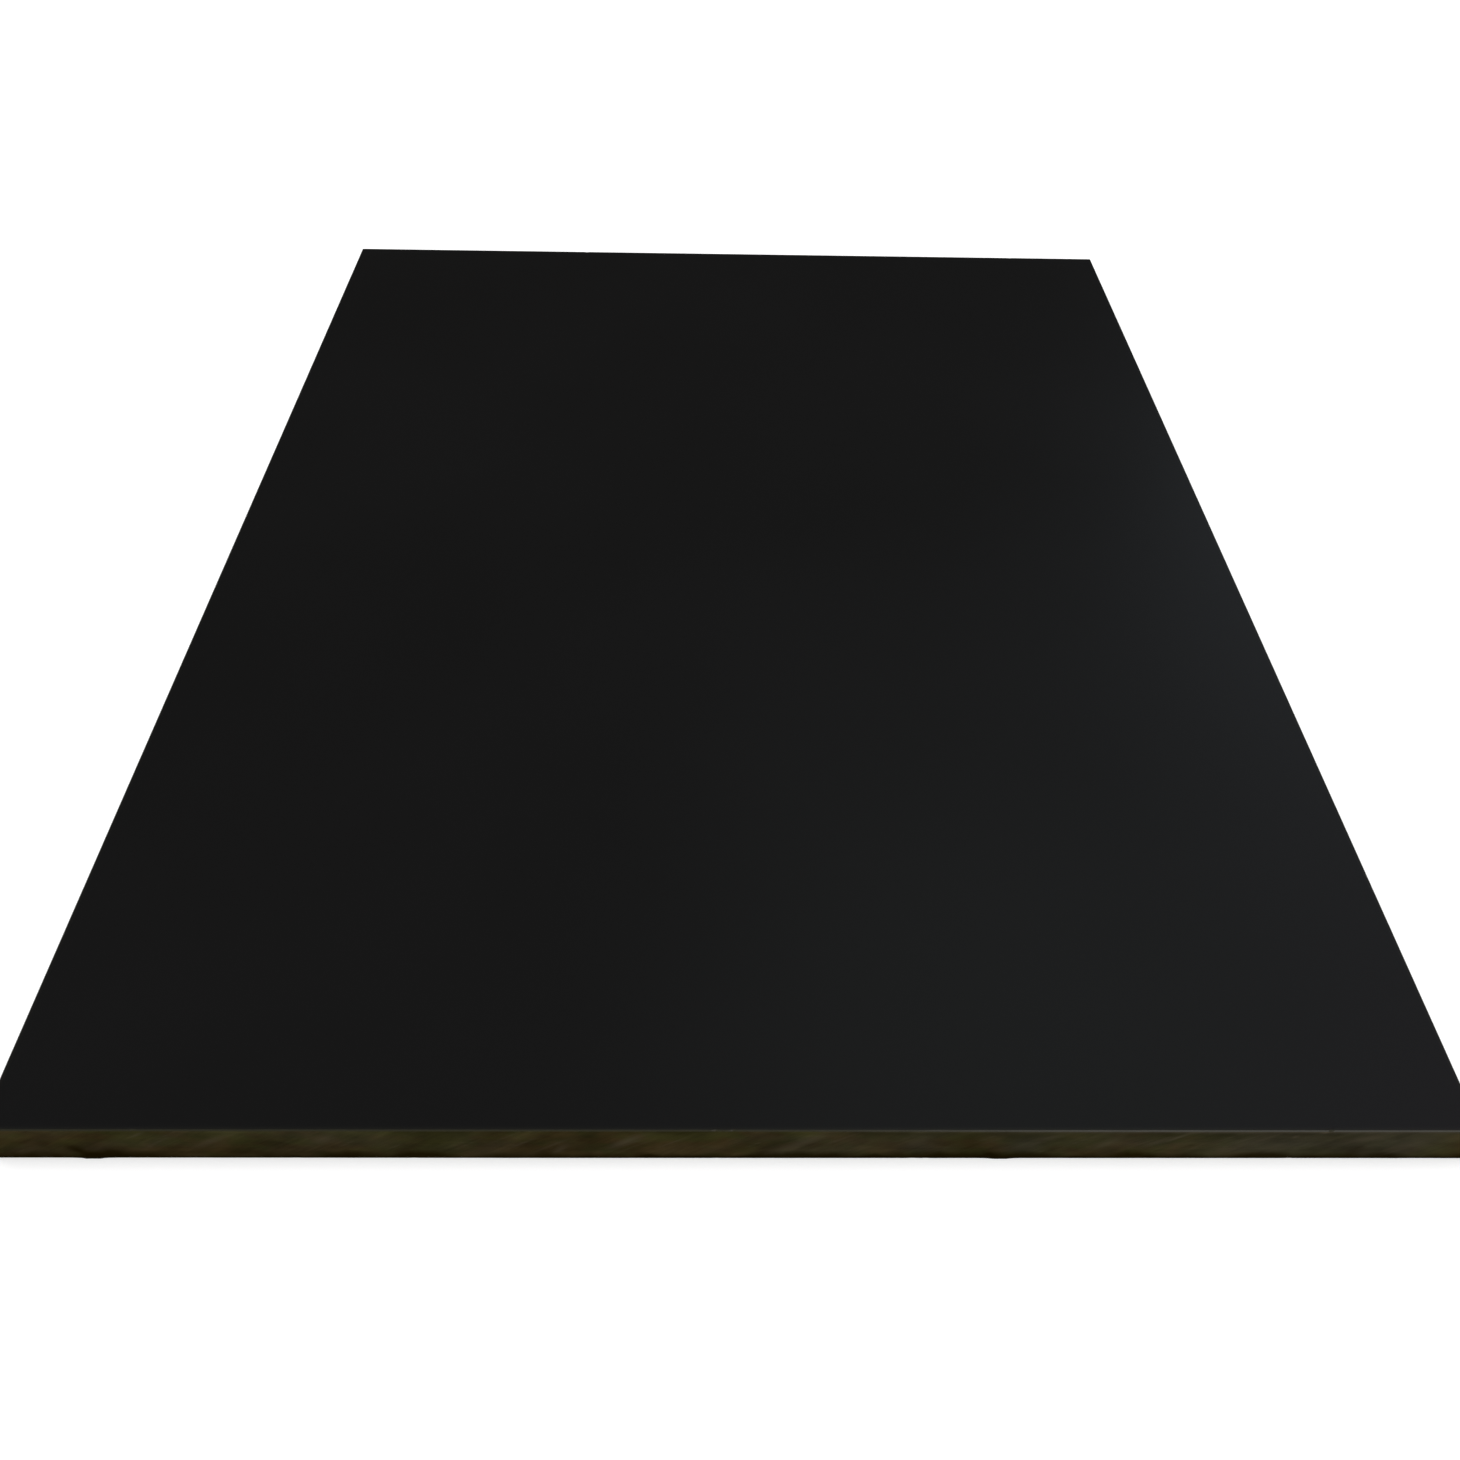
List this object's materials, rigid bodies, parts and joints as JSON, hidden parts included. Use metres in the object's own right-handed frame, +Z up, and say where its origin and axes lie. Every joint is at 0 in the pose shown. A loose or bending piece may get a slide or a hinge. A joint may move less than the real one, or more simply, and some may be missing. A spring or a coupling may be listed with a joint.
{
  "type": "high pressure laminate panel",
  "caption": "Flat rectangular piece of black compact laminate with a brown kraft core at its sawn edges, for worktops, partitions, cladding and machined fixtures",
  "frame": {"origin": "middle of the underside, on the level surface that the panel lies on", "axes": "+X runs along the shorter side (width), +Y along the longer side (length), +Z up, out of the show face"},
  "size_m": [0.3, 0.415, 0.01],
  "materials": {
    "decor": "satin",
    "core": "matte"
  },
  "bodies": {
    "root": {"back_decor": "decor", "kraft_core": "core", "face_decor": "decor"}
  },
  "joints": []
}
